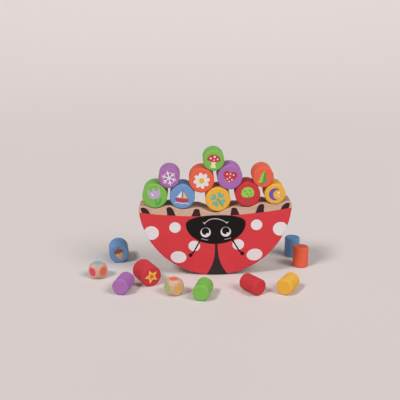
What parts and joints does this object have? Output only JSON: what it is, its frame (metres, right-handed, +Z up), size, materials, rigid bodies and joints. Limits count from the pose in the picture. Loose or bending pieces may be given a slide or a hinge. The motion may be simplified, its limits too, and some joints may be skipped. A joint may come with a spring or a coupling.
{
  "type": "balance game",
  "caption": "Wooden balance game: half-disc ladybird rocker with a wavy top that carries round stacking stones in three sizes, with loose stones and colour dice beside it.",
  "frame": {"origin": "on the table, under the middle of the whole set's box", "axes": "+X to the player's right along the rocker, +Y away from the player through the rocker's thickness, +Z up"},
  "size_m": [0.2832, 0.1594, 0.1615],
  "materials": {
    "ladybird_paint": "satin red print on one face of bare wood",
    "green_paint": "satin green lacquer on wood",
    "blue_paint": "satin blue lacquer on wood",
    "yellow_paint": "satin yellow lacquer on wood",
    "red_paint": "satin red lacquer on wood",
    "orange_paint": "satin orange lacquer on wood",
    "purple_paint": "satin purple lacquer on wood",
    "bare_wood": "sanded bare wood"
  },
  "bodies": {
    "small_stone_blue": {"small_stone_blue": "blue_paint"},
    "rocker": {"ladybird_rocker": "ladybird_paint"},
    "large_stone_green": {"large_stone_green": "green_paint"},
    "large_stone_blue": {"large_stone_blue": "blue_paint"},
    "large_stone_yellow": {"large_stone_yellow": "yellow_paint"},
    "large_stone_red": {"large_stone_red": "red_paint"},
    "medium_stone_yellow": {"medium_stone_yellow": "yellow_paint"},
    "large_stone_orange": {"large_stone_orange": "orange_paint"},
    "large_stone_purple": {"large_stone_purple": "purple_paint"},
    "medium_stone_purple": {"medium_stone_purple": "purple_paint"},
    "medium_stone_orange": {"medium_stone_orange": "orange_paint"},
    "medium_stone_green": {"medium_stone_green": "green_paint"},
    "medium_stone_blue": {"medium_stone_blue": "blue_paint"},
    "medium_stone_red": {"medium_stone_red": "red_paint"},
    "small_stone_purple": {"small_stone_purple": "purple_paint"},
    "small_stone_green": {"small_stone_green": "green_paint"},
    "small_stone_red": {"small_stone_red": "red_paint"},
    "small_stone_yellow": {"small_stone_yellow": "yellow_paint"},
    "small_stone_orange": {"small_stone_orange": "orange_paint"},
    "colour_die_left": {"colour_die_left": "bare_wood"},
    "colour_die_front": {"colour_die_front": "bare_wood"}
  },
  "joints": [
    {"name": "rocker_rock", "type": "hinge", "parent": "small_stone_blue", "child": "rocker", "pos_m": [0.01772, 0.01653, 0.095], "axis": [0, 1, 0], "range_deg": [-18.3, 21.7]},
    {"name": "large_green_pull", "type": "slide", "parent": "rocker", "child": "large_stone_green", "axis": [0, -1, 0], "range_m": [0, 0.045]},
    {"name": "large_blue_pull", "type": "slide", "parent": "rocker", "child": "large_stone_blue", "axis": [0, -1, 0], "range_m": [0, 0.045]},
    {"name": "large_yellow_pull", "type": "slide", "parent": "rocker", "child": "large_stone_yellow", "axis": [0, -1, 0], "range_m": [0, 0.045]},
    {"name": "large_red_pull", "type": "slide", "parent": "rocker", "child": "large_stone_red", "axis": [0, -1, 0], "range_m": [0, 0.045]},
    {"name": "medium_yellow_pull", "type": "slide", "parent": "rocker", "child": "medium_stone_yellow", "axis": [0, -1, 0], "range_m": [0, 0.045]},
    {"name": "large_orange_pull", "type": "slide", "parent": "rocker", "child": "large_stone_orange", "axis": [0, -1, 0], "range_m": [0, 0.045]},
    {"name": "large_purple_pull", "type": "slide", "parent": "rocker", "child": "large_stone_purple", "axis": [0, -1, 0], "range_m": [0, 0.045]},
    {"name": "medium_purple_lift", "type": "slide", "parent": "rocker", "child": "medium_stone_purple", "axis": [0, 0, 1], "range_m": [0, 0.04]},
    {"name": "medium_orange_lift", "type": "slide", "parent": "rocker", "child": "medium_stone_orange", "axis": [0, 0, 1], "range_m": [0, 0.04]},
    {"name": "medium_green_lift", "type": "slide", "parent": "rocker", "child": "medium_stone_green", "axis": [0, 0, 1], "range_m": [0, 0.04]},
    {"name": "medium_blue_lift", "type": "slide", "parent": "small_stone_blue", "child": "medium_stone_blue", "axis": [0, 0, 1], "range_m": [0, 0.03]},
    {"name": "medium_red_lift", "type": "slide", "parent": "small_stone_blue", "child": "medium_stone_red", "axis": [0, 0, 1], "range_m": [0, 0.03]},
    {"name": "small_purple_lift", "type": "slide", "parent": "small_stone_blue", "child": "small_stone_purple", "axis": [0, 0, 1], "range_m": [0, 0.03]},
    {"name": "small_green_lift", "type": "slide", "parent": "small_stone_blue", "child": "small_stone_green", "axis": [0, 0, 1], "range_m": [0, 0.03]},
    {"name": "small_red_lift", "type": "slide", "parent": "small_stone_blue", "child": "small_stone_red", "axis": [0, 0, 1], "range_m": [0, 0.03]},
    {"name": "small_yellow_lift", "type": "slide", "parent": "small_stone_blue", "child": "small_stone_yellow", "axis": [0, 0, 1], "range_m": [0, 0.03]},
    {"name": "small_orange_lift", "type": "slide", "parent": "small_stone_blue", "child": "small_stone_orange", "axis": [0, 0, 1], "range_m": [0, 0.03]},
    {"name": "left_die_lift", "type": "slide", "parent": "small_stone_blue", "child": "colour_die_left", "axis": [0, 0, 1], "range_m": [0, 0.03]},
    {"name": "front_die_lift", "type": "slide", "parent": "small_stone_blue", "child": "colour_die_front", "axis": [0, 0, 1], "range_m": [0, 0.03]}
  ]
}
